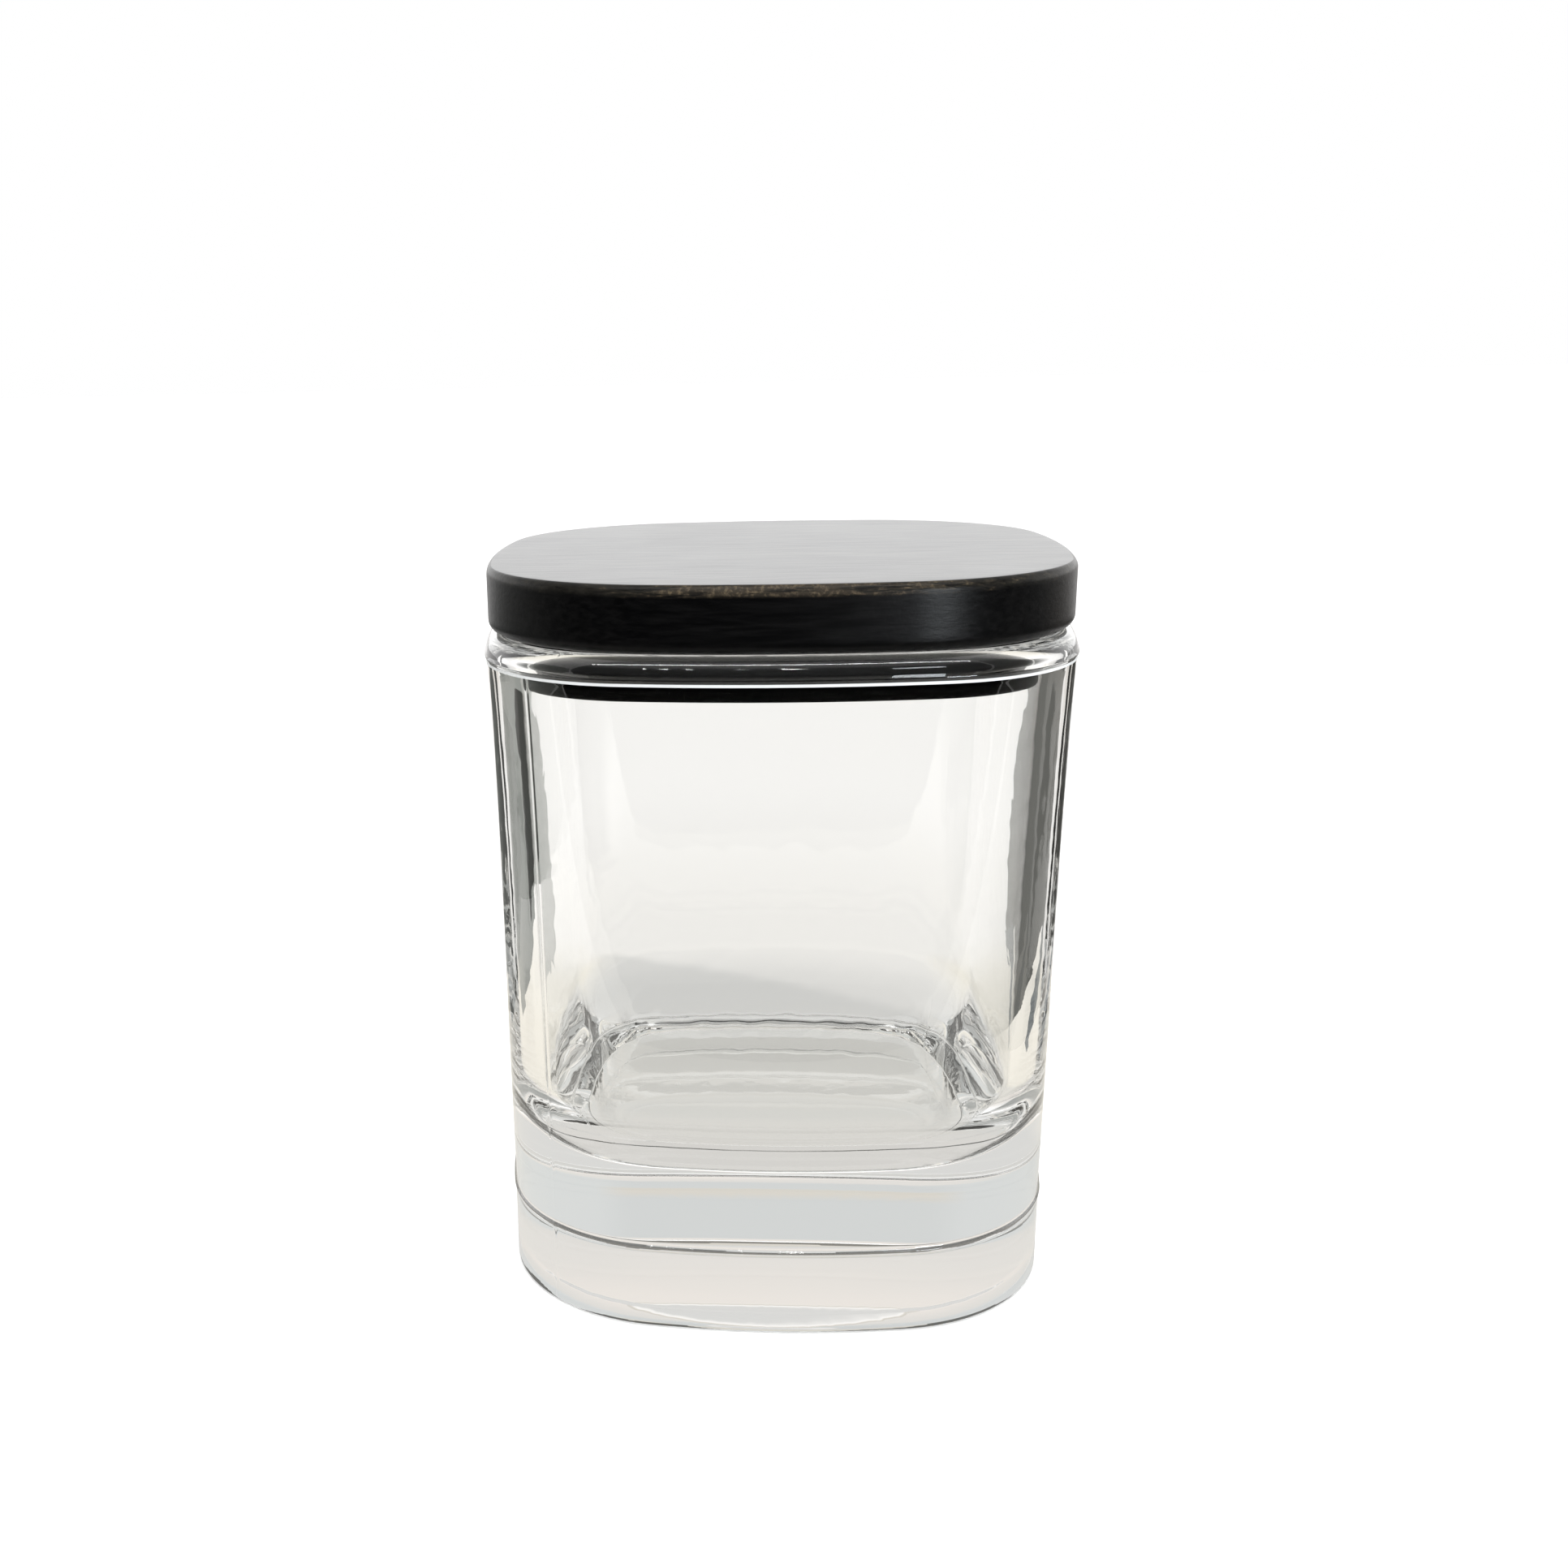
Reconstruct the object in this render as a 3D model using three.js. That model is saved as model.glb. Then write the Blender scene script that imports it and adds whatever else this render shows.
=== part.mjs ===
// Clear glass jar with a rounded-square plan, a thick solid base and a lift-off wooden lid.
// Millimetres, +Z up. Origin: centre of the footprint, on the plane the base rests on.
// "Half" is a half-width, "inset" an even offset inwards from an outline.
import * as THREE from "three";

// Plan outline: a rounded square with bowed sides
const SIDE_BOW = 3.16; // side radius as a multiple of the half-width
const SEGMENTS = 80;

// Jar outside
const HALF_CURVE = [3.857, -4.943, 2.789, 41.397]; // cubic in height / 100, highest power first
const CURVE_START_DEPTH = 1.6; // the cubic's zero height lies this far below the base
const FOOT_CORNER = 0.617; // corner radii as shares of the half-width
const RIM_CORNER = 0.558;
const WALL_END_Z = 96.05; // the rim's outer rounding starts here
const RIM_Z = 99.0;
const RIM_ROUND_OUT = 2.6;
const RIM_ROUND_IN = 1.9;
const BASE_EDGE = 0.6; // radius between the wall and the underside
const OUTER_LEVELS = [26, 40, 56, 70, 84, WALL_END_Z];

// Mould joint: the foot below it stands a little proud, with a ridge on the joint
const JOINT_Z = 12.9;
const JOINT_STEP = 0.12;
const JOINT_RIDGE = 0.22; // beyond the step
const RIDGE_HALF_HEIGHT = 0.6;

// Jar underside: a bearing ring round a shallow recess
const RECESS_INSET = 8.22;
const RECESS_SLOPE = 1.5;
const RECESS_DEPTH = 0.15;
const RECESS_CROWN = 0.1; // extra depth at the centre

// Jar inside
const WALL_TOP = 4.6; // wall thickness at the rim
const WALL_FLOOR = 5.2; // wall thickness at floor height
const FLOOR_Z = 21.2;
const FILLET_OUT = 11.0;
const FILLET_UP = 13.4;
const FILLET_TOP_Z = FLOOR_Z + FILLET_UP;
const INNER_LEVELS = [80, 62, 46];

// Lid plate
const LID_HALF = 42.5;
const LID_CORNER = 0.67; // share of the half-width
const LID_GAP = 0.1; // between the rim and the lid
const LID_UNDER_Z = RIM_Z + LID_GAP;
const LID_TOP_Z = 108.23;
const LID_LOWER_ROUND = 1.6;
const CHAMFER_IN = 0.9;
const CHAMFER_DOWN = 1.2;
const CHAMFER_BEND = { in: 0.35, down: 0.42 }; // middle ring, as shares of the two sizes above

// Plug under the lid, with a groove for the seal ring
const PLUG_CLEARANCE = 0.6;
const PLUG_INSET = WALL_TOP + PLUG_CLEARANCE;
const PLUG_BOTTOM_Z = 92.4;
const PLUG_LOWER_ROUND = 0.8;
const GROOVE_LOW_Z = 94.5;
const GROOVE_HIGH_Z = 96.7;
const GROOVE_DEPTH = 1.3;

// Seal ring
const SEAL_GAP = 0.15; // left between the ring and the groove, and the ring and the glass
const LIP_BEND = { out: 0.75, up: 0.35 }; // shares of the lip's reach and half-height

const lerp = (from, to, share) => from + (to - from) * share;

// Distance from the origin, along the unit direction (x, y), to the far side of a circle.
function reachCircle(x, y, centreX, centreY, radius) {
  const along = x * centreX + y * centreY;
  return along + Math.sqrt(along ** 2 - (centreX ** 2 + centreY ** 2 - radius ** 2));
}

// Distance from the axis to the outline at an angle, folded into one eighth of the plan.
function reachOutline(angle, { half, cornerRadius, sideRadius }) {
  const quarterTurn = Math.PI / 2;
  const turned = angle % quarterTurn;
  const folded = Math.min(turned, quarterTurn - turned);
  const x = Math.cos(folded);
  const y = Math.sin(folded);

  // The side arc's centre is (side, 0). The corner's is (corner, corner), where the arcs are tangent.
  const side = half - sideRadius;
  const corner = (side + Math.sqrt(2 * (sideRadius - cornerRadius) ** 2 - side ** 2)) / 2;
  const sideReach = reachCircle(x, y, side, 0, sideRadius);
  const sideAngle = Math.atan2(sideReach * y, sideReach * x - side);
  if (sideAngle <= Math.atan2(corner, corner - side)) return sideReach;
  return reachCircle(x, y, corner, corner, cornerRadius);
}

// One ring of a profile: an outline set in evenly, at a height.
const ring = (half, cornerShare, inset, z) => ({
  half: half - inset,
  cornerRadius: cornerShare * half - inset,
  sideRadius: SIDE_BOW * half - inset,
  z,
});
const axis = (z) => ({ half: 0, z });

// Rings along a quarter round. makeRing gets one share falling 1 to 0 and one rising 0 to 1.
const quarterRound = (steps, makeRing) =>
  Array.from({ length: steps + 1 }, (_, i) => {
    const angle = (i / steps) * (Math.PI / 2);
    return makeRing(1 - Math.sin(angle), 1 - Math.cos(angle));
  });

// A lathe whose circles are pushed out to the rounded-square outline, ring by ring.
function lathed(rings) {
  const geometry = new THREE.LatheGeometry(
    rings.map(({ half, z }) => new THREE.Vector2(half, z)),
    SEGMENTS,
  );
  const { position } = geometry.attributes;
  for (let i = 0; i <= SEGMENTS; i++) {
    const angle = (2 * Math.PI * (i % SEGMENTS)) / SEGMENTS;
    rings.forEach((outline, j) => {
      const reach = outline.half === 0 ? 0 : reachOutline(angle, outline);
      const x = reach * Math.cos(angle);
      const y = reach * Math.sin(angle);
      position.setXYZ(i * rings.length + j, x, y, outline.z);
    });
  }
  geometry.computeVertexNormals();
  return geometry;
}

// The outside half-width at a height: straight at the foot, then a slight flare to the mouth.
function halfAt(z) {
  const wallZ = Math.min(Math.max(z, JOINT_Z), WALL_END_Z);
  const height = (wallZ + CURVE_START_DEPTH) / 100;
  return HALF_CURVE.reduce((sum, factor) => sum * height + factor, 0);
}

// The jar's outline at outlineZ, set in and placed at z.
const bodyRing = (inset, z, outlineZ = z) => {
  const cornerShare = lerp(FOOT_CORNER, RIM_CORNER, outlineZ / WALL_END_Z);
  return ring(halfAt(outlineZ), cornerShare, inset, z);
};
const footRing = (inset, z) => bodyRing(inset, z, 0);
const rimRing = (inset, z) => bodyRing(inset, z, WALL_END_Z);
const wallAt = (z) => lerp(WALL_FLOOR, WALL_TOP, (z - FLOOR_Z) / (RIM_Z - FLOOR_Z));

// From the centre of the underside, up the outside, over the rim and down to the inner floor.
const jarRings = () => [
  axis(RECESS_DEPTH + RECESS_CROWN),
  footRing(RECESS_INSET + RECESS_SLOPE, RECESS_DEPTH),
  footRing(RECESS_INSET, 0),
  ...quarterRound(3, (fall, rise) => footRing(BASE_EDGE * fall - JOINT_STEP, BASE_EDGE * rise)),
  footRing(-JOINT_STEP, JOINT_Z - RIDGE_HALF_HEIGHT),
  footRing(-JOINT_STEP - JOINT_RIDGE, JOINT_Z),
  bodyRing(0, JOINT_Z + RIDGE_HALF_HEIGHT),
  ...OUTER_LEVELS.map((z) => bodyRing(0, z)),
  // The first ring of this round is the last outer level.
  ...quarterRound(4, (fall, rise) =>
    rimRing(RIM_ROUND_OUT * rise, RIM_Z - (RIM_Z - WALL_END_Z) * fall),
  ).slice(1),
  ...quarterRound(3, (fall, rise) =>
    rimRing(WALL_TOP - RIM_ROUND_IN * fall, RIM_Z - RIM_ROUND_IN * rise),
  ),
  ...INNER_LEVELS.map((z) => bodyRing(wallAt(z), z)),
  ...quarterRound(6, (fall, rise) =>
    bodyRing(wallAt(FILLET_TOP_Z) + FILLET_OUT * rise, FLOOR_Z + FILLET_UP * fall),
  ),
  axis(FLOOR_Z),
];

const lidRing = (inset, z) => ring(LID_HALF, LID_CORNER, inset, z);
const plateRings = () => [
  axis(LID_UNDER_Z),
  ...quarterRound(4, (fall, rise) =>
    lidRing(LID_LOWER_ROUND * fall, LID_UNDER_Z + LID_LOWER_ROUND * rise),
  ),
  lidRing(0, LID_TOP_Z - CHAMFER_DOWN),
  lidRing(CHAMFER_IN * CHAMFER_BEND.in, LID_TOP_Z - CHAMFER_DOWN * CHAMFER_BEND.down),
  lidRing(CHAMFER_IN, LID_TOP_Z),
  axis(LID_TOP_Z),
];

const plugRing = (inset, z) => rimRing(PLUG_INSET + inset, z);
const plugRings = () => [
  axis(PLUG_BOTTOM_Z),
  ...quarterRound(2, (fall, rise) =>
    plugRing(PLUG_LOWER_ROUND * fall, PLUG_BOTTOM_Z + PLUG_LOWER_ROUND * rise),
  ),
  plugRing(0, GROOVE_LOW_Z),
  plugRing(GROOVE_DEPTH, GROOVE_LOW_Z),
  plugRing(GROOVE_DEPTH, GROOVE_HIGH_Z),
  plugRing(0, GROOVE_HIGH_Z),
  plugRing(0, LID_UNDER_Z),
  axis(LID_UNDER_Z),
];

// Fills the groove and stands out of it with a rounded lip, just short of the glass.
function sealRings() {
  const low = GROOVE_LOW_Z + SEAL_GAP;
  const high = GROOVE_HIGH_Z - SEAL_GAP;
  const middle = (low + high) / 2;
  const back = GROOVE_DEPTH - SEAL_GAP;
  const lip = SEAL_GAP - PLUG_CLEARANCE; // negative: outwards from the plug
  return [
    plugRing(back, low),
    plugRing(0, low),
    plugRing(lip * LIP_BEND.out, lerp(low, middle, LIP_BEND.up)),
    plugRing(lip, middle),
    plugRing(lip * LIP_BEND.out, lerp(high, middle, LIP_BEND.up)),
    plugRing(0, high),
    plugRing(back, high),
    plugRing(back, low),
  ];
}

const matte = (color, roughness, more) =>
  new THREE.MeshStandardMaterial({ color, roughness, metalness: 0, ...more });
const glass = matte(0xeef2f0, 0.05, { transparent: true, opacity: 0.35 });
const wood = matte(0x161615, 0.55);
const plugWood = matte(0x121212, 0.7);
const silicone = matte(0x1c1d1e, 0.35);

function piece(name, rings, material) {
  const mesh = new THREE.Mesh(lathed(rings), material);
  mesh.name = name;
  return mesh;
}

const lid = new THREE.Group();
lid.add(
  piece("lid_plate", plateRings(), wood),
  piece("lid_plug", plugRings(), plugWood),
  piece("seal_ring", sealRings(), silicone),
);

const group = new THREE.Group();
group.add(piece("jar_body", jarRings(), glass), lid);

export default group;
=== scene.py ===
"""Square glass jar with a black-stained wooden lid, in Blender.

The jar stands upright on z = 0, centred on the z axis, with its flat sides facing x and y. Front,
where the camera is, is -y; right is +x. Sizes are in mm unless noted and become metres in meshes.
"""

import math

import bpy
import numpy as np
from mathutils import Matrix, Vector


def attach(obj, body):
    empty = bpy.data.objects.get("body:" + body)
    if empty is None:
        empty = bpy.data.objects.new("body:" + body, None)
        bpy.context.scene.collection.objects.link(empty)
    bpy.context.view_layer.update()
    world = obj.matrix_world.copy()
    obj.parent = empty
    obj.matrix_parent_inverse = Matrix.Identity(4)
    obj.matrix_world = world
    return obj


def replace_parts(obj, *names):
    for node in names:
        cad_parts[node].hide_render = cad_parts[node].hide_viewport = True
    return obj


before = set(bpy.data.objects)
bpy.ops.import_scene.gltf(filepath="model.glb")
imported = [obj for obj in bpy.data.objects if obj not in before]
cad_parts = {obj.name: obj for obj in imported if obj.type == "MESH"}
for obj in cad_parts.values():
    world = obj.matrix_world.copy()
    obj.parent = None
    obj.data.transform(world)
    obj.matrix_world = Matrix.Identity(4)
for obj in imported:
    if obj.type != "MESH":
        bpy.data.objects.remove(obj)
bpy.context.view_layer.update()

MM = 0.001
SEGMENTS = 288
EVEN_ANGLES = np.arange(SEGMENTS) * 2 * math.pi / SEGMENTS

# ---------------------------------------------------------------- sizes
# Plan outline: a rounded square. Its corner and side radii are multiples of the half-width.
SIDE_BOW = 3.16
FOOT_CORNER, SEAM_CORNER = 0.617, 0.558
FOOT_HALF, SEAM_HALF = 41.72, 42.95
# Half-width of the wall: a cubic, highest power first, in (z + HALF_SHIFT) / HALF_SPAN
HALF_CURVE, HALF_SHIFT, HALF_SPAN = (3.857, -4.943, 2.789, 41.397), 1.6, 100

# Rim, and the mould joint just under it
SEAM_Z, RIM_Z = 96.05, 99.0
RIM_ROUND_OUT, RIM_ROUND_IN = 2.6, 1.9
RIM_START_UP, RIM_START_IN = 0.55, 0.05
# The ridge of that joint: height from SEAM_Z, how far it stands out
RIM_RIDGE = (
    (-0.9, 0), (-0.7, 0), (-0.5, 0.02), (-0.3, 0.11), (-0.1, 0.19),
    (0.02, 0.21), (0.12, 0.18), (0.45, 0.02), (RIM_START_UP, 0.0),
)

# Foot, underside recess and base-plate joint
BASE_EDGE = 0.6
RECESS_HALF, RECESS_SLOPE, RECESS_DEPTH, RECESS_CROWN = 33.5, 1.5, 0.07, 0.1
RECESS_SCALES, RECESS_EDGE_STEPS = (0.25, 0.5, 0.75), 8
PLATE_SEAM_Z, PLATE_STEP, PLATE_RIDGE, PLATE_WIDTH = 12.9, 0.12, 0.22, 0.4

# Inside
WALL_TOP, WALL_FLOOR = 4.6, 5.2
FLOOR_Z, FILLET_OUT, FILLET_UP = 21.2, 11.0, 13.4
FILLET_TOP_Z = FLOOR_Z + FILLET_UP
INNER_STEPS, FLOOR_SCALES = 110, (0.97, 0.94, 0.9, 0.82, 0.7, 0.5, 0.25)

# Marks left by pressing
RIPPLE, FINE_RIPPLE, FLOOR_RIPPLE, OUTER_RIPPLE = 0.05, 0.006, 0.015, 0.02
RECESS_WAVER = 0.15
MOULD_SEAM, MOULD_SEAM_FOOT_FACTOR = 0.03, 3.0
MOULD_SEAM_ANGLES = (math.radians(225.6), math.radians(45.6))
MOULD_SEAM_SPREAD, MOULD_SEAM_WINDOW = 0.006, 0.03  # radians
BUBBLE_AT, BUBBLE_SIZE = (-15.5, 4.0, 17.5), (0.42, 0.3, 0.24)

# Glass bands painted dark for shade at the base-plate joint and the foot's edge, and a pale band
# painted under the rim for a highlight
JOINT_LOW, JOINT_HIGH, JOINT_SPREAD_DOWN, JOINT_SPREAD_UP = 12.85, 13.1, 0.30, 0.22
RIM_LINE_LOW, RIM_LINE_HIGH = SEAM_Z - 0.85, SEAM_Z - 0.55
# painted contact shade on the foot's edge: its lowest and highest z, and how much higher it runs
# round the corners
FOOT_LINE_LOW, FOOT_LINE_HIGH, FOOT_SHADE_CORNER = 0.01, 0.16, 1.1

# Lid board, the plug below it and the seal ring in the plug's groove
LID_HALF, LID_CORNER = 42.5, 0.67
LID_UNDER_Z, LID_TOP_Z = 99.1, 108.23
LID_CHAMFER_IN, LID_CHAMFER_DOWN, LID_LOWER_ROUND = 0.9, 1.2, 1.6
PLUG_CLEARANCE, PLUG_BOTTOM_Z, PLUG_LOWER_ROUND = 0.6, 92.4, 0.8
GROOVE_LOW_Z, GROOVE_HIGH_Z, GROOVE_DEPTH = 94.5, 96.7, 1.3
RING_GAP = 0.15
TINY = 0.01  # keeps neighbouring rings and faces from coinciding


# ---------------------------------------------------------------- outlines and solids
def lerp(a, b, t):
    return a + (b - a) * t


def quarter(steps):
    """Angles from 0 to a right angle."""
    return [i / steps * math.pi / 2 for i in range(steps + 1)]


def reach(angle, half, corner, side):
    """Distance from the axis to the rounded square at each angle.

    half is the half-width, corner and side are the radii of the arcs at corners and sides."""
    right = math.pi / 2
    t = np.mod(angle, right)
    t = np.where(t > right / 2, right - t, t)
    x, y = np.cos(t), np.sin(t)
    side_at = half - side
    corner_at = (side_at + np.sqrt(2 * (side - corner) ** 2 - side_at**2)) / 2
    along = x * side_at
    to_side = along + np.sqrt(along * along - (side_at**2 - side * side))
    along = (x + y) * corner_at
    to_corner = along + np.sqrt(np.maximum(along * along - (2 * corner_at**2 - corner**2), 0))
    turn = np.arctan2(corner_at, corner_at - side_at)
    on_side = np.arctan2(to_side * y, to_side * x - side_at) <= turn
    return np.where(on_side, to_side, to_corner)


def ring(half, corner, offset, z):
    """One outline moved inwards by offset: half-width, corner radius, side radius, height."""
    return (half - offset, corner * half - offset, SIDE_BOW * half - offset, z)


def scaled(outline, scale):
    return tuple(size * scale for size in outline[:3])


def body(z, offset, height=None):
    """The jar's outline at z, inwards by offset, set at another height if one is given."""
    t = (min(max(z, PLATE_SEAM_Z), SEAM_Z) + HALF_SHIFT) / HALF_SPAN
    corner = lerp(FOOT_CORNER, SEAM_CORNER, z / SEAM_Z)
    return ring(np.polyval(HALF_CURVE, t), corner, offset, z if height is None else height)


def wall_at(z):
    """Wall thickness."""
    return lerp(WALL_FLOOR, WALL_TOP, (z - FLOOR_Z) / (RIM_Z - FLOOR_Z))


def wave(seed, angle, turns, z=0.0, rise=0.1, count=9):
    """A smooth, repeatable ripple of about -1 to 1 over angle and height."""
    rng = np.random.default_rng(seed)
    total = 0
    for _ in range(count):
        cycles = rng.integers(turns[0], turns[1] + 1)
        strength = rng.uniform(0.4, 1)
        climb = rng.uniform(-rise, rise)
        total = total + strength * np.sin(cycles * angle + climb * z + rng.uniform(0, 6.283))
    return total / (count**0.5)


def mesh_object(name, points, faces, *materials):
    """A linked mesh object from points in mm."""
    mesh = bpy.data.meshes.new(name)
    mesh.from_pydata((np.array(points, float) * MM).tolist(), [], faces)
    for material in materials:
        mesh.materials.append(material)
    return link(name, mesh)


def link(name, data):
    ob = bpy.data.objects.new(name, data)
    bpy.context.scene.collection.objects.link(ob)
    return ob


def lathed(name, rings, material, closed=False, angles=EVEN_ANGLES, shift=None, extra=None,
           patches=()):
    """A smooth solid skinned over rings; closed joins the last ring to the first.

    shift(ring number, ring, angles) gives moves outwards and up. extra is a separate skin of
    points and faces. patches are (material, where), with where(z, half, angles) a mask."""
    count, total = len(angles), len(rings)
    points, faces, patched = [], [], []
    for j, outline in enumerate(rings):
        outward, up = shift(j, outline, angles) if shift else (0.0, 0.0)
        r = reach(angles, *outline[:3]) + outward
        z = np.full(count, float(outline[3])) + up
        points.append(np.stack([r * np.cos(angles), r * np.sin(angles), z], 1))
    for j in range(total if closed else total - 1):
        k = (j + 1) % total
        for slot, (_, where) in enumerate(patches, 1):
            found = where((rings[j][3] + rings[k][3]) / 2, rings[j][0], angles)
            mask = np.broadcast_to(found, count)
            patched += [(len(faces) + i, slot) for i in range(count) if mask[i]]
        for i in range(count):
            i2 = (i + 1) % count
            faces.append((j * count + i, j * count + i2, k * count + i2, k * count + i))
    if not closed:
        low, last = total * count, (total - 1) * count
        faces += [(low, (i + 1) % count, i) for i in range(count)]
        faces += [(low + 1, last + i, last + (i + 1) % count) for i in range(count)]
        points.append(np.array([[0, 0, np.mean(points[j][:, 2])] for j in (0, -1)]))
    if extra:
        base = sum(len(part) for part in points)
        faces += [tuple(i + base for i in face) for face in extra[1]]
        points.append(extra[0])
    ob = mesh_object(name, np.concatenate(points), faces, material, *(m for m, _ in patches))
    mesh = ob.data
    mesh.validate()
    mesh.polygons.foreach_set("use_smooth", [True] * len(mesh.polygons))
    mesh.update()
    for i, slot in patched:
        mesh.polygons[i].material_index = slot
    return ob


# ---------------------------------------------------------------- shader graph helpers
class Graph:
    """Short ways to add nodes to a tree; values may be numbers, colours or sockets."""

    def __init__(self, tree):
        self.tree = tree

    def feed(self, socket, value):
        if isinstance(value, bpy.types.NodeSocket):
            self.tree.links.new(value, socket)
        elif socket.type == "RGBA":
            socket.default_value = (*value, 1)
        else:
            socket.default_value = value

    def node(self, kind, inputs=None, **settings):
        made = self.tree.nodes.new(kind)
        for key, value in settings.items():
            setattr(made, key, value)
        for key, value in (inputs or {}).items():
            self.feed(made.inputs[key], value)
        return made

    def math(self, operation, a, b=0.0):
        inputs = {0: a, 1: b, 2: 0.0}
        return self.node("ShaderNodeMath", inputs, operation=operation).outputs[0]

    def add(self, a, b):
        return self.math("ADD", a, b)

    def times(self, a, b):
        return self.math("MULTIPLY", a, b)

    def distance(self, x, y):
        """Square root of x * x + y * y."""
        return self.math("SQRT", self.add(self.times(x, x), self.times(y, y)))

    def ramp(self, value, start, end):
        """Smooth ramp: 0 where value is at start, 1 where it is at end."""
        inputs = dict(enumerate((value, start, end, 0.0, 1.0)))
        made = self.node("ShaderNodeMapRange", inputs, interpolation_type="SMOOTHSTEP")
        return made.outputs[0]

    def mix(self, factor, off, on):
        """Colour off where factor is 0, on where it is 1."""
        inputs = {0: factor, 6: off, 7: on}
        made = self.node("ShaderNodeMix", inputs, data_type="RGBA", clamp_factor=True)
        return made.outputs[2]

    def noise(self, where, scale, detail, roughness, distortion=0.0):
        inputs = {"Vector": where, "Scale": scale, "Detail": detail}
        inputs |= {"Roughness": roughness, "Distortion": distortion}
        return self.node("ShaderNodeTexNoise", inputs).outputs["Fac"]

    def object_mm(self):
        """Object coordinates in mm."""
        where = self.node("ShaderNodeTexCoord").outputs["Object"]
        inputs = {0: where, "Scale": 1000.0}
        return self.node("ShaderNodeVectorMath", inputs, operation="SCALE").outputs[0]

    def stretched(self, where, factors):
        inputs = {0: where, 1: factors}
        return self.node("ShaderNodeVectorMath", inputs, operation="MULTIPLY").outputs[0]

    def split(self, vector):
        return self.node("ShaderNodeSeparateXYZ", {0: vector}).outputs

    def geometry(self, output):
        """x, y and z of one output of the geometry node."""
        return self.split(self.node("ShaderNodeNewGeometry").outputs[output])

    def light_path(self):
        return self.node("ShaderNodeLightPath").outputs


def blank_material(name):
    """A material holding only an output; returns it, its graph and the surface socket."""
    material = bpy.data.materials.new(name)
    material.use_nodes = True
    material.node_tree.nodes.clear()
    g = Graph(material.node_tree)
    return material, g, g.node("ShaderNodeOutputMaterial").inputs["Surface"]


def principled(name, inputs=None):
    material, g, surface = blank_material(name)
    shader = g.node("ShaderNodeBsdfPrincipled", inputs)
    g.feed(surface, shader.outputs[0])
    return material, g, shader


# ---------------------------------------------------------------- materials
def glass_material(name, tint, transmission=1.0, roughness=0.0):
    inputs = {"Base Color": tint, "Roughness": roughness, "IOR": 1.51}
    return principled(name, inputs | {"Transmission Weight": transmission})[0]


def black_wood(name):
    """What both woods share: black stain over grain that runs along x, and its fine relief."""
    material, g, shader = principled(name)
    where = g.object_mm()
    grain = g.noise(g.stretched(where, (0.05, 0.9, 0.9)),
                    scale=1.6, detail=6.0, roughness=0.62, distortion=0.4)
    fine = g.noise(where, scale=1.7, detail=3.0, roughness=0.6)
    black = g.mix(g.ramp(grain, start=0.35, end=0.75),
                  off=(0.0007, 0.0007, 0.0008), on=(0.0026, 0.0025, 0.0025))
    relief = g.add(grain, g.times(fine, 0.35))
    bump = g.node("ShaderNodeBump", {"Strength": 0.12, "Distance": 0.00025, "Height": relief})
    g.feed(shader.inputs["Normal"], bump.outputs[0])
    return material, g, shader, where, grain, fine, black


def stained_wood():
    """The lid's wood: a grey sheen painted on the top and bare wood where the upper edge is
    rubbed.
    """
    material, g, shader, where, grain, fine, black = black_wood("stained_wood")
    x, y, z = g.split(where)
    up = g.geometry("Normal")[2]
    # painted sheen: the flat top drawn grey for the bright room it reflects, with a darker smudge
    # towards the back left
    blotch = g.noise(g.stretched(g.object_mm(), (0.028, 0.05, 0.05)),
                     scale=1.0, detail=3.0, roughness=0.55, distortion=0.6)
    top = g.ramp(up, start=0.93, end=0.995)
    top_sheen = g.mix(g.ramp(blotch, start=0.3, end=0.7),
                  off=(0.030, 0.030, 0.031), on=(0.052, 0.051, 0.050))
    smudge_at, smudge_size = (-12.0, 18.0), (9.0, 20.0)
    across, back = (
        g.times(g.math("SUBTRACT", value, middle), 1 / size)
        for value, middle, size in zip((x, y), smudge_at, smudge_size)
    )
    far = g.add(g.times(across, across), g.times(back, back))
    smudge = g.times(g.ramp(far, start=1.6, end=0.1), 0.5)
    top_sheen = g.mix(smudge, off=top_sheen, on=(0.012, 0.012, 0.012))
    colour = g.mix(top, off=black, on=top_sheen)
    # rubbed upper edge, strongest about the middle of the width
    edge_low = LID_TOP_Z - LID_CHAMFER_DOWN - 0.55
    edge = g.times(g.ramp(z, start=edge_low, end=LID_TOP_Z - 0.75),
                   g.ramp(up, start=0.985, end=0.9))
    rub = g.noise(g.stretched(g.object_mm(), (0.09, 0.5, 0.9)),
                  scale=1.3, detail=5.0, roughness=0.65, distortion=0.3)
    along = g.times(g.ramp(x, start=-26.0, end=-12.0), g.ramp(x, start=44.0, end=14.0))
    strong = g.add(g.times(along, 0.16), 0.0)
    bare = g.times(edge, g.ramp(g.add(rub, strong), start=0.58, end=0.74))
    tan = g.mix(g.ramp(fine, start=0.45, end=0.7),
                off=(0.034, 0.025, 0.016), on=(0.16, 0.118, 0.07))
    colour = g.mix(g.times(bare, 0.85), off=colour, on=tan)
    # scuffed paler stain along the whole upper edge, browner sides at the right
    scuff = g.times(g.times(edge, 0.55), g.ramp(rub, start=0.25, end=0.6))
    colour = g.mix(scuff, off=colour, on=(0.020, 0.018, 0.014))
    brown = g.times(g.ramp(x, start=33.0, end=42.0), g.math("SUBTRACT", 1.0, top))
    colour = g.mix(g.times(brown, 0.5), off=colour, on=(0.016, 0.012, 0.009))
    g.feed(shader.inputs["Base Color"], colour)
    # the grain varies the roughness; the top has the stronger sheen
    roughness = g.add(g.add(g.times(grain, 0.16), g.times(top, 0.02)), 0.24)
    g.feed(shader.inputs["Roughness"], roughness)
    g.feed(shader.inputs["Specular IOR Level"], g.add(0.09, g.times(top, 0.59)))
    return material


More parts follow.
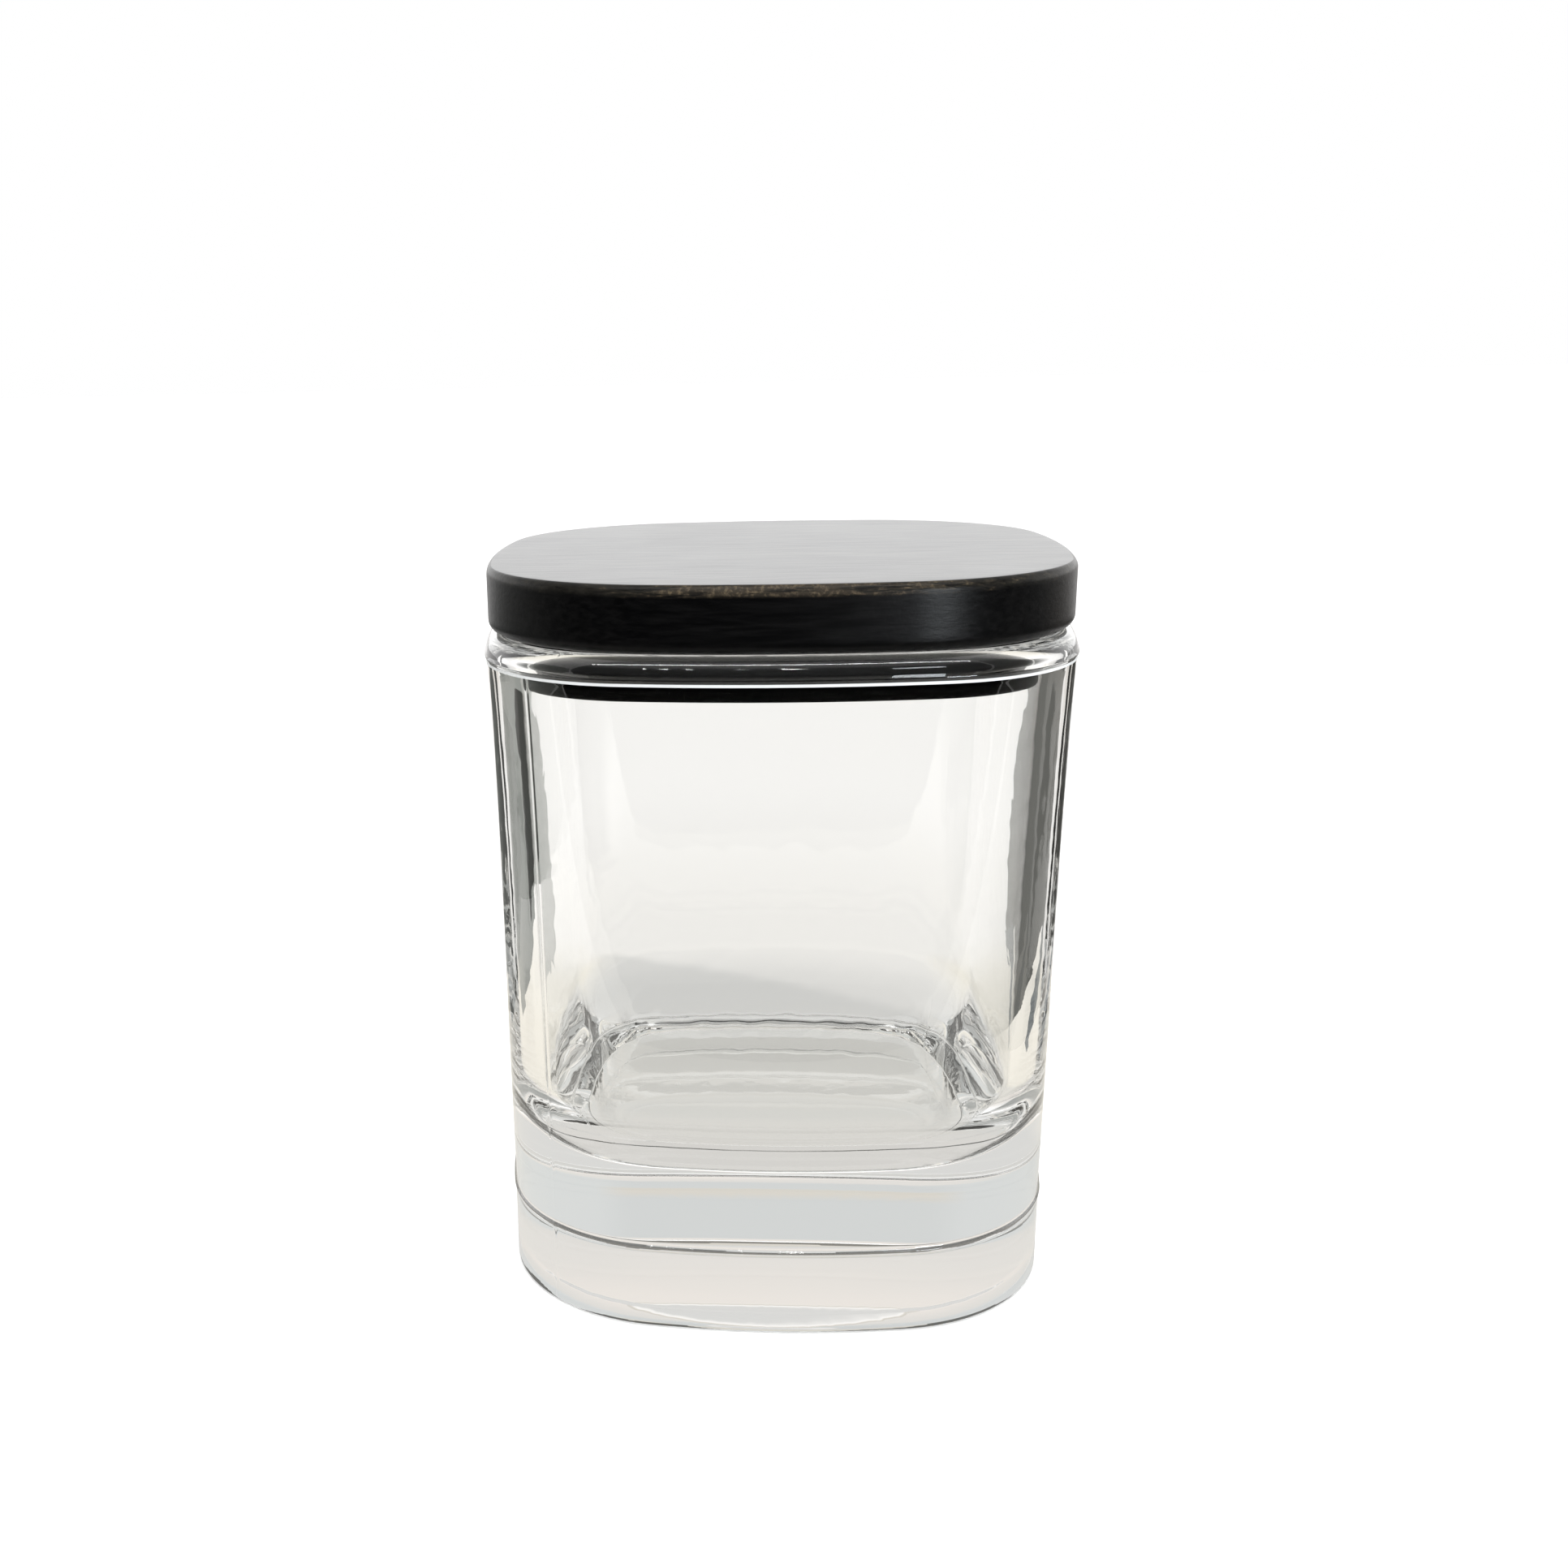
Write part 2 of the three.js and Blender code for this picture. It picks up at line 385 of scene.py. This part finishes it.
def plug_wood():
    material, g, shader, *_, black = black_wood("plug_wood")
    g.feed(shader.inputs["Base Color"], black)
    g.feed(shader.inputs["Roughness"], 0.5)
    g.feed(shader.inputs["Specular IOR Level"], 0.06)
    return material


CLEAR = glass_material("clear_glass", (0.988, 0.99, 0.98))
# painted shade: dark glass for the band at the base-plate joint
JOINT_SHADE_GLASS = glass_material("joint_shade_glass", (0.09, 0.09, 0.086))
# painted highlight: pale frosted glass for the bright line under the rim
RIM_HIGHLIGHT_GLASS = glass_material("rim_highlight_glass", (0.66, 0.67, 0.67), transmission=0.3, roughness=0.5)
# painted shade: dark glass for the contact shadow along the foot's edge
FOOT_SHADE_GLASS = glass_material("foot_shade_glass", (0.05, 0.05, 0.045), transmission=0.3, roughness=0.3)
STAINED_WOOD = stained_wood()
PLUG_WOOD = plug_wood()
SILICONE = principled("silicone", {"Base Color": (0.01, 0.01, 0.011), "Roughness": 0.3})[0]

# ---------------------------------------------------------------- glass body
FLOOR_OUTLINE = body(FLOOR_Z, wall_at(FILLET_TOP_Z) + FILLET_OUT)


def recess_rings():
    """Underside recess from the middle outwards, then an S down to the bearing ring."""
    rings = []
    for s in RECESS_SCALES:
        half = (RECESS_HALF - RECESS_SLOPE) * s
        rings.append(ring(half, FOOT_CORNER, 0, RECESS_DEPTH + RECESS_CROWN * (1 - s * s)))
    inset = FOOT_HALF - RECESS_HALF + RECESS_SLOPE
    for i in range(RECESS_EDGE_STEPS + 1):
        t = i / RECESS_EDGE_STEPS
        height = RECESS_DEPTH * (1 - (3 * t * t - 2 * t**3))
        rings.append(body(0, inset - RECESS_SLOPE * t, height))
    return rings


def foot_step(z):
    """How far the foot stands proud of the wall above it, with a fine ridge on the joint."""
    d = (z - PLATE_SEAM_Z) / PLATE_WIDTH
    step = 0.5 - 0.5 * math.tanh(1.6 * (d - 0.6))
    return PLATE_STEP * step + PLATE_RIDGE * math.exp(-d * d * 1.5)


def outer_rings():
    """Base edge and outer wall, closely spaced about the base-plate joint."""
    rings = []
    for t in quarter(14):
        z = BASE_EDGE * (1 - math.cos(t))
        rings.append(body(z, BASE_EDGE * (1 - math.sin(t)) - PLATE_STEP))
    heights = [0.75, 0.9, 1.05, *np.linspace(BASE_EDGE + 0.6, PLATE_SEAM_Z - 1.6, 8)]
    heights += list(np.linspace(PLATE_SEAM_Z - 1.5, PLATE_SEAM_Z + 2.0, 36))
    heights += list(np.linspace(PLATE_SEAM_Z + 2.6, SEAM_Z - 1.3, 56))
    return rings + [body(z, -foot_step(z)) for z in heights]


def rim_rings():
    """The ridge under the rim, then over the rim's outer and inner rounds."""
    rings = [body(SEAM_Z, -proud, SEAM_Z + up) for up, proud in RIM_RIDGE]
    start = SEAM_Z + RIM_START_UP
    for t in quarter(12)[1:]:
        offset = RIM_START_IN + (RIM_ROUND_OUT - RIM_START_IN) * (1 - math.cos(t))
        rings.append(body(SEAM_Z, offset, start + (RIM_Z - start) * math.sin(t)))
    for t in quarter(10):
        z = RIM_Z - RIM_ROUND_IN * (1 - math.cos(t))
        rings.append(body(SEAM_Z, WALL_TOP - RIM_ROUND_IN * (1 - math.sin(t)), z))
    return rings


def inner_rings():
    """Inner wall from the top down, the fillet to the floor, and the floor inwards."""
    rings = []
    for i in range(1, INNER_STEPS):
        z = lerp(RIM_Z - RIM_ROUND_IN, FILLET_TOP_Z, i / INNER_STEPS)
        rings.append(body(z, wall_at(z)))
    for t in quarter(26):
        z = FLOOR_Z + FILLET_UP * (1 - math.sin(t))
        rings.append(body(z, wall_at(FILLET_TOP_Z) + FILLET_OUT * (1 - math.cos(t))))
    return rings + [(*scaled(FLOOR_OUTLINE, s), FLOOR_Z) for s in FLOOR_SCALES]


def recess_marks(angle):
    return RECESS_WAVER * (
        wave(31, angle, turns=(14, 90), count=16)
        + 0.5 * wave(33, angle, turns=(60, 140), count=12)
    )


def outer_marks(angle, z):
    """Fine mould seams up two corners, heavier on the foot, and a slight ripple."""
    height = MOULD_SEAM * (MOULD_SEAM_FOOT_FACTOR if z < PLATE_SEAM_Z else 1.0)
    outward = OUTER_RIPPLE * wave(9, angle, turns=(2, 8), z=z, rise=0.08)
    for seam in MOULD_SEAM_ANGLES:
        outward = outward + height * np.exp(-(((angle - seam) / MOULD_SEAM_SPREAD) ** 2))
    return outward


def inner_marks(angle, half, z):
    """Waves on the inner wall that fade at the rim, and up-and-down ripple at the floor edge."""
    fade = min(1.0, max(0.0, (RIM_Z - 3 - z) / 12))
    near_floor = min(1.0, max(0.0, 1 - (z - FLOOR_Z) / 6))
    near_edge = max(0.0, 1 - max(0.0, 1 - half / FLOOR_OUTLINE[0]) / 0.08) ** 2
    outward = RIPPLE * wave(3, angle, turns=(2, 11), z=z, rise=0.11) * fade
    fine = wave(5, angle, turns=(18, 60), z=z, rise=2.4, count=14)
    outward = (outward + FINE_RIPPLE * fine * fade) * (1 - 0.7 * near_floor)
    up = wave(7, angle, turns=(20, 95), z=z, rise=0.5, count=16)
    return outward, FLOOR_RIPPLE * up * near_floor * near_edge


def seam_angles():
    """The even angles, with a finer run of them across each mould seam."""
    angles = set(np.round(EVEN_ANGLES, 9))
    window = MOULD_SEAM_WINDOW
    for seam in MOULD_SEAM_ANGLES:
        angles -= {a for a in angles if abs(a - seam) < window}
        angles |= set(np.round(seam + np.linspace(-window, window, 25), 9))
    return np.array(sorted(angles))


def bubble(middle, size, rows=6, columns=10):
    """A small seed of air in the glass: a closed skin facing its own inside."""
    last = 1 + (rows - 1) * columns

    def index(row, column):
        if row in (0, rows):
            return 0 if row == 0 else last
        return 1 + (row - 1) * columns + column % columns

    def point(row, column):
        t, u = math.pi * row / rows, 2 * math.pi * column / columns
        way = (math.sin(t) * math.cos(u), math.sin(t) * math.sin(u), math.cos(t))
        return [m + s * w for m, s, w in zip(middle, size, way)]

    points = [point(0, 0)]
    points += [point(i, k) for i in range(1, rows) for k in range(columns)]
    points.append(point(rows, 0))
    faces = []
    for i in range(rows):
        for k in range(columns):
            square = (index(i, k), index(i, k + 1), index(i + 1, k + 1), index(i + 1, k))
            faces.append(tuple(dict.fromkeys(square)))  # a triangle at the poles
    return np.array(points), faces


def joint_shade_line(z, half, angle):
    """Painted shade: the greyed base-plate joint drawn as a band of dark glass for the dark line
    its refracting step shows, broader round the corners.
    """
    corner = np.abs(np.sin(2 * angle)) ** 1.5
    uneven = 0.5 + 0.5 * wave(21, angle, turns=(5, 40), count=12)
    above = z > JOINT_LOW - JOINT_SPREAD_DOWN * corner * uneven
    return above & (z < JOINT_HIGH + JOINT_SPREAD_UP * corner) & (half > FOOT_HALF - 1.5)


def foot_shade_line(z, half, angle):
    """Painted shade: the outer edge of the foot along the front drawn in dark glass for the
    contact shadow there, broader round the corners.
    """
    corner = np.abs(np.sin(2 * angle)) ** 2
    uneven = 0.5 + 0.5 * wave(23, angle, turns=(5, 30), count=12)
    below = z < FOOT_LINE_HIGH + FOOT_SHADE_CORNER * corner * uneven
    return (np.sin(angle) < 0.1) & (z > FOOT_LINE_LOW) & below & (half > FOOT_HALF - 1.5)


def rim_highlight_line(z, half, angle):
    """Painted highlight: a fine pale frosted line just under the rim's mould joint, for the
    bright line a lamp's reflection makes there.
    """
    return RIM_LINE_LOW < z < RIM_LINE_HIGH and half > FOOT_HALF - 1


def make_jar():
    recess = recess_rings()
    outside = recess + outer_rings() + rim_rings()

    def pressed(j, outline, angle):
        half, z = outline[0], float(outline[3])
        if j >= len(outside):
            return inner_marks(angle, half, z)
        if len(RECESS_SCALES) <= j < len(recess):
            return recess_marks(angle), 0.0
        if j >= len(recess) and BASE_EDGE < z < SEAM_Z - 0.5:
            return outer_marks(angle, z), 0.0
        return 0.0, 0.0

    jar = lathed(
        "jar_glass", outside + inner_rings(), CLEAR, angles=seam_angles(), shift=pressed,
        extra=bubble(BUBBLE_AT, BUBBLE_SIZE),
        patches=((JOINT_SHADE_GLASS, joint_shade_line), (FOOT_SHADE_GLASS, foot_shade_line), (RIM_HIGHLIGHT_GLASS, rim_highlight_line)),
    )
    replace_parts(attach(jar, "jar"), "jar_body")


# ---------------------------------------------------------------- lid
def lid_ring(offset, z):
    return ring(LID_HALF, LID_CORNER, offset, z)


def plug_ring(offset, z):
    return ring(SEAM_HALF, SEAM_CORNER, WALL_TOP + PLUG_CLEARANCE + offset, z)


def lower_round(outline, radius, bottom, steps):
    """The rounded lower edge of a block, from a ring just inside it outwards and up."""
    rings = [outline(radius + TINY, bottom)]
    for t in quarter(steps):
        rings.append(outline(radius * (1 - math.sin(t)), bottom + radius * (1 - math.cos(t))))
    return rings


def make_lid_plate():
    rings = lower_round(lid_ring, LID_LOWER_ROUND, LID_UNDER_Z, steps=8)
    low, high = LID_UNDER_Z + LID_LOWER_ROUND, LID_TOP_Z - LID_CHAMFER_DOWN
    rings += [lid_ring(0, lerp(low, high, i / 12)) for i in range(1, 12)]
    for t in quarter(10):
        z = LID_TOP_Z - LID_CHAMFER_DOWN * (1 - math.sin(t))
        rings.append(lid_ring(LID_CHAMFER_IN * (1 - math.cos(t)), z))
    top = lid_ring(LID_CHAMFER_IN, LID_TOP_Z)
    rings += [(*scaled(top, s), LID_TOP_Z) for s in (0.97, 0.8, 0.6, 0.4, 0.2)]
    board = lathed("lid_board", rings, STAINED_WOOD)
    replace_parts(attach(board, "lid"), "lid_plate")


def make_plug():
    rings = lower_round(plug_ring, PLUG_LOWER_ROUND, PLUG_BOTTOM_Z, steps=5)
    rings += [
        plug_ring(0, GROOVE_LOW_Z),
        plug_ring(GROOVE_DEPTH, GROOVE_LOW_Z),
        plug_ring(GROOVE_DEPTH, GROOVE_HIGH_Z),
        plug_ring(0, GROOVE_HIGH_Z),
        plug_ring(0, LID_UNDER_Z - TINY),
    ]
    plug = lathed("lid_plug_block", rings, PLUG_WOOD)
    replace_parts(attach(plug, "lid"), "lid_plug")


def make_seal():
    """A band in the groove with a half-round outer lip."""
    low, high = GROOVE_LOW_Z + RING_GAP, GROOVE_HIGH_Z - RING_GAP
    middle = (low + high) / 2
    lip = -(PLUG_CLEARANCE - RING_GAP)
    rings = [plug_ring(GROOVE_DEPTH - RING_GAP, low)]
    for i in range(13):
        t = -math.pi / 2 + math.pi * i / 12
        rings.append(plug_ring(lip * math.cos(t), middle + (high - middle) * math.sin(t)))
    rings.append(plug_ring(GROOVE_DEPTH - RING_GAP, high))
    seal = lathed("seal_ring_band", rings, SILICONE, closed=True)
    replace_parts(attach(seal, "lid"), "seal_ring")


# ---------------------------------------------------------------- camera
CAMERA_DISTANCE, CAMERA_AIM_Z = 283.333333, 51.525
CAMERA_LENS, CAMERA_SHIFT = 40.647851, (0.11387164, 0.08126294)
# Angles in radians; yaw turns the whole view about the z axis
ELEVATION, TILT, PAN, ROLL, YAW = 0.30969, -0.00212, -0.09467, 0.00679, 0.02171


def swing(first, second, angle):
    """Turn two square directions in their plane, the first towards the second."""
    c, s = math.cos(angle), math.sin(angle)
    return first * c + second * s, second * c - first * s


def make_camera():
    c, s = math.cos(ELEVATION), math.sin(ELEVATION)
    right, up, forward = np.array([1.0, 0, 0]), np.array([0, s, c]), np.array([0, c, -s])
    place = (np.array([0, 0, CAMERA_AIM_Z]) - forward * CAMERA_DISTANCE) * MM
    forward, up = swing(forward, up, TILT)
    forward, right = swing(forward, right, PAN)
    right, up = swing(right, up, ROLL)
    c, s = math.cos(-YAW), math.sin(-YAW)
    yaw = np.array([[c, -s, 0], [s, c, 0], [0, 0, 1.0]])
    columns = (yaw @ right, yaw @ up, -(yaw @ forward), yaw @ place)
    data = bpy.data.cameras.new("camera")
    data.sensor_width = 36.0
    data.lens = CAMERA_LENS
    data.shift_x, data.shift_y = CAMERA_SHIFT
    data.clip_start, data.clip_end = 0.01, 50
    camera = link("camera", data)
    camera.matrix_world = Matrix([*zip(*columns), (0, 0, 0, 1)])
    bpy.context.scene.camera = camera


# ---------------------------------------------------------------- floor and studio cards
FLOOR_REACH, FLOOR_DROP = 6000, -0.2
FAR = 5500
EYE_Y, EYE_Z = -270, 138  # about where the camera is
TABLE_HOLE = (43.6, 27.0, 134.0)  # half-width, corner radius, side radius
TABLE_RADII = (90.0, 400.0, 5600.0)
CARD_STEPS = 96
NEAR_BLACK = (0.004, 0.004, 0.004)
# Card outlines: x, y
FRONT = ((-FAR, -FAR), (FAR, -FAR), (FAR, -140), (-FAR, -140))
FRONT_NEAR = ((-160, -440), (160, -440), (160, -140), (-160, -140))
RIGHT = (
    (100, 120), (118, 180), (165, 290), (210, 340), (260, 520), (FAR, 520),
    (FAR, -130), (130, -130), (130, 62), (120, 120),
)
RIGHT_NEAR = ((98, 62), (99, 125), (112, 125), (114, 60), (104, 36), (98, 36))
LEFT = (
    (-84, 105), (-94, 150), (-116, 190), (-160, 290), (-205, 340), (-250, 520), (-FAR, 520),
    (-FAR, -130), (-260, -130), (-205, 60), (-150, 56), (-92, 66), (-90, 105),
)
LEFT_DARK = (
    (-290, 205), (-350, 215), (-350, 120), (-240, 60), (-170, 70), (-215, 112), (-270, 150),
)


def make_floor():
    looks = {"Base Color": (0.8, 0.8, 0.795), "Roughness": 0.9}
    looks |= {"Emission Color": (1, 1, 1), "Emission Strength": 0.3}
    material = principled("floor_pale", looks)[0]
    corners = ((-1, -1), (1, -1), (1, 1), (-1, 1))
    points = [(x * FLOOR_REACH, y * FLOOR_REACH, FLOOR_DROP) for x, y in corners]
    mesh_object("floor", points, [(0, 1, 2, 3)], material)


def stage_card(name, points, faces, material):
    """A card that only the glass and glossy surfaces see."""
    ob = mesh_object(name, points, faces, material)
    ob.visible_camera = ob.visible_diffuse = ob.visible_shadow = False


def along_sight(g):
    """1 where a ray meets the card at about the slope of the camera's line of sight to it."""
    x, y, _ = g.geometry("Position")
    slant = g.node("ShaderNodeNewGeometry").outputs["Incoming"]
    y = g.math("SUBTRACT", y, EYE_Y * MM)
    flat = g.add(g.times(x, x), g.times(y, y))
    length = g.math("SQRT", g.add(flat, (EYE_Z * MM) ** 2))
    slope = g.math("DIVIDE", EYE_Z * MM, length)
    off = g.math("SUBTRACT", g.split(slant)[2], slope)
    return g.times(g.ramp(off, start=0.10, end=0.05), g.ramp(off, start=-0.17, end=-0.11))


def card(name, outline, shade, z=0.05, deep=None, side=False):
    """A flat studio card on the floor.

    A side card is seen only along the camera's own slope, so that it doesn't stand as a dark
    patch behind the glass from elsewhere; a front card is seen only in reflections. deep is
    its shade from the second glossy bounce on."""
    material, g, surface = blank_material(name)
    glow = g.node("ShaderNodeEmission", {"Color": shade})
    if not side:
        depth = g.light_path()["Glossy Depth"]
    if deep:
        g.feed(glow.inputs["Color"], g.mix(g.math("GREATER_THAN", depth, 1.5), shade, deep))
    seen = along_sight(g) if side else g.math("GREATER_THAN", depth, 0.5)
    clear = g.node("ShaderNodeBsdfTransparent")
    both = {0: seen, 1: clear.outputs[0], 2: glow.outputs[0]}
    g.feed(surface, g.node("ShaderNodeMixShader", both).outputs[0])
    stage_card(name, [(x, y, z) for x, y in outline], [tuple(range(len(outline)))], material)


def glowing(name, shade_of):
    """A material that glows in the colour shade_of(graph, x, y) gives, x and y in metres."""
    material, g, surface = blank_material(name)
    x, y, _ = g.geometry("Position")
    glow = g.node("ShaderNodeEmission", {"Color": shade_of(g, x, y)})
    g.feed(surface, glow.outputs[0])
    return material


def table_shade(g, x, y):
    """Warm and a little dim close to the jar, white farther off."""
    # a soft shadow centred a little to the left
    left = g.times(g.add(x, 0.006), 1.25)
    d = g.distance(left, y)
    shade = g.mix(g.ramp(d, start=0.055, end=0.125),
                  off=(0.80, 0.79, 0.775), on=(0.98, 0.962, 0.94))
    # warmer in front of the jar's back part and to both sides
    shade = g.mix(g.ramp(y, start=0.045, end=0.010), off=shade, on=(0.93, 0.89, 0.82))
    aside = g.times(g.ramp(g.math("ABSOLUTE", x), start=0.035, end=0.065),
                    g.ramp(y, start=0.130, end=0.090))
    shade = g.mix(aside, off=shade, on=(0.92, 0.88, 0.79))
    shade = g.mix(g.ramp(d, start=0.125, end=0.30), off=shade, on=(1.10, 1.085, 1.075))
    # painted shadow: a grey patch in front of a slanting line, cut off at the left
    slant = g.add(y, g.times(x, 0.85))
    grey = g.times(g.ramp(slant, start=0.081, end=0.069), g.ramp(x, start=-0.062, end=-0.040))
    shade = g.mix(g.times(grey, 0.45), off=shade, on=(0.60, 0.605, 0.60))
    # the far back, from the second glossy bounce on
    twice = g.times(g.math("GREATER_THAN", g.light_path()["Glossy Depth"], 1.5),
                    g.ramp(y, start=0.15, end=0.4))
    return g.mix(twice, off=shade, on=(0.86, 0.815, 0.77))


# Painted shadow: the table under the jar drawn dim as the jar shades it, a little lighter and
# warmer to the front.
def under_jar_shadow(g, x, y):
    return g.mix(g.ramp(y, start=0.03, end=-0.03),
                 off=(0.67, 0.665, 0.645), on=(0.69, 0.675, 0.65))


def table_cards():
    """The table top as the glass shows it, open under the jar, and the table under the jar with
    its painted shadow.
    """
    n = CARD_STEPS
    angle = np.arange(n) * 2 * math.pi / n
    hole = reach(angle, *TABLE_HOLE)

    def loop(radius, z):
        return np.stack([radius * np.cos(angle), radius * np.sin(angle), np.full(n, z)], 1)

    points = np.concatenate([loop(radius, 0.02) for radius in (hole, *TABLE_RADII)])
    faces = []
    for j in range(len(TABLE_RADII)):
        for i in range(n):
            i2 = (i + 1) % n
            faces.append((j * n + i, j * n + i2, (j + 1) * n + i2, (j + 1) * n + i))
    stage_card("card_table", points, faces, glowing("card_table", table_shade))
    under = glowing("card_under", under_jar_shadow)
    stage_card("card_under", loop(hole, -0.05), [tuple(range(n))], under)


def make_cards():
    table_cards()
    card("card_front", FRONT, NEAR_BLACK, z=0.04, deep=(0.32, 0.33, 0.325))
    card("card_front_near", FRONT_NEAR, NEAR_BLACK, z=0.06)
    card("card_right", RIGHT, (0.14, 0.14, 0.13), side=True)
    card("card_right_near", RIGHT_NEAR, (0.20, 0.215, 0.22), z=0.1, side=True)
    card("card_left", LEFT, (0.30, 0.31, 0.29), side=True)
    card("card_left_dark", LEFT_DARK, (0.02, 0.02, 0.018), z=0.1, side=True)


# ---------------------------------------------------------------- world and lights
def make_world():
    """White to the camera and to diffuse rays; bands of grey and beige to the glass."""
    world = bpy.data.worlds.new("world")
    bpy.context.scene.world = world
    world.use_nodes = True
    g = Graph(world.node_tree)
    dx, dy, dz = g.split(g.node("ShaderNodeTexCoord").outputs["Generated"])
    path = g.light_path()
    depth, transmitted = path["Glossy Depth"], path["Is Transmission Ray"]
    # the back as seen through the glass, in bands by height
    through = g.mix(g.ramp(dz, start=0.415, end=0.43),
                    off=(0.70, 0.67, 0.61), on=(0.645, 0.665, 0.665))
    aside = g.ramp(g.math("ABSOLUTE", dx), start=0.12, end=0.26)
    through = g.mix(aside, off=through, on=(0.68, 0.70, 0.70))
    beige = g.mix(g.ramp(dz, start=0.478, end=0.535),
                  off=(0.765, 0.745, 0.715), on=(0.86, 0.815, 0.77))
    through = g.mix(g.ramp(dz, start=0.468, end=0.478), off=through, on=beige)
    low = g.times(g.ramp(dz, start=0.385, end=0.34), g.math("LESS_THAN", depth, 0.5))
    through = g.mix(low, off=through, on=(0.97, 0.97, 0.965))
    # the back as reflected, and bright overhead
    gloss = g.mix(g.ramp(dz, start=0.2, end=0.6), off=(2.12, 2.12, 2.12), on=(1.0, 1.0, 1.0))
    back = g.mix(transmitted, off=gloss, on=through)
    back = g.mix(g.ramp(dz, start=0.70, end=0.85), off=back, on=(1.5, 1.5, 1.5))
    # the front: dim to reflections below, white overhead
    deep = g.mix(g.math("GREATER_THAN", depth, 1.5),
                 off=(0.30, 0.305, 0.30), on=(0.36, 0.37, 0.365))
    dim = g.mix(transmitted, off=(0.01, 0.01, 0.01), on=deep)
    front = g.mix(g.ramp(dz, start=0.55, end=0.85), off=dim, on=(1.0, 1.0, 1.0))
    front = g.mix(g.math("GREATER_THAN", depth, 0.5), off=(0.95, 0.95, 0.94), on=front)
    sky = g.mix(g.ramp(dy, start=-0.15, end=0.15), off=front, on=back)
    plain = g.math("MAXIMUM", path["Is Camera Ray"], path["Is Diffuse Ray"])
    background = world.node_tree.nodes["Background"]
    g.feed(background.inputs["Color"], g.mix(plain, off=sky, on=(1, 1, 1)))
    background.inputs["Strength"].default_value = 1.0


LIGHT_DISTANCE, LIGHT_AIM = 1500, (0, 0, 90)
LAMP_ELEVATION, LAMP_HEIGHT, LAMP_POWER = math.radians(38.0), 26, 0.00045  # power per square mm
# Lamps: azimuth in degrees from the front towards the right, width
LAMPS = ((-20.5, 14), (-17.3, 40), (-13.3, 26), (-4.8, 22), (3.6, 90))


def around(azimuth, elevation, lift=0):
    """A place at LIGHT_DISTANCE in front, raised by lift; angles in radians."""
    flat = LIGHT_DISTANCE * math.cos(elevation)
    z = LIGHT_DISTANCE * math.sin(elevation) + lift
    return (flat * math.sin(azimuth), -flat * math.cos(azimuth), z)


def softbox(name, at, size, power, aim=LIGHT_AIM, colour=(1, 1, 1)):
    data = bpy.data.lights.new(name, "AREA")
    data.shape = "RECTANGLE"
    data.size, data.size_y = size[0] * MM, size[1] * MM
    data.energy = power
    data.color = colour
    ob = link(name, data)
    ob.location = Vector(at) * MM
    ob.rotation_euler = (Vector(aim) - Vector(at)).to_track_quat("-Z", "Y").to_euler()
    ob.visible_camera = ob.visible_transmission = False


def make_lights():
    softbox("softbox_right", (440, -660, 110), size=(240, 200), power=4.2,
            colour=(0.90, 0.96, 1.0))
    for k, (azimuth, width) in enumerate(LAMPS):  # seen as glints on the rim
        softbox("lamp_%d" % k, around(math.radians(azimuth), LAMP_ELEVATION),
                size=(width, LAMP_HEIGHT), power=LAMP_POWER * width * LAMP_HEIGHT)
    softbox("strip_above", around(0, 1.13, lift=90), size=(1800, 110), power=12.5,
            aim=(0, 0, 95))
    softbox("window_right", around(math.radians(22.5), math.radians(30)), size=(190, 160),
            power=1.0, colour=(0.9, 0.95, 1.0))


# ---------------------------------------------------------------- build
make_jar()
make_lid_plate()
make_plug()
make_seal()
make_camera()
make_floor()
make_cards()
make_world()
make_lights()

bpy.context.scene.view_settings.view_transform = "Standard"
cycles = bpy.context.scene.cycles
cycles.max_bounces, cycles.transmission_bounces, cycles.glossy_bounces = 24, 24, 20
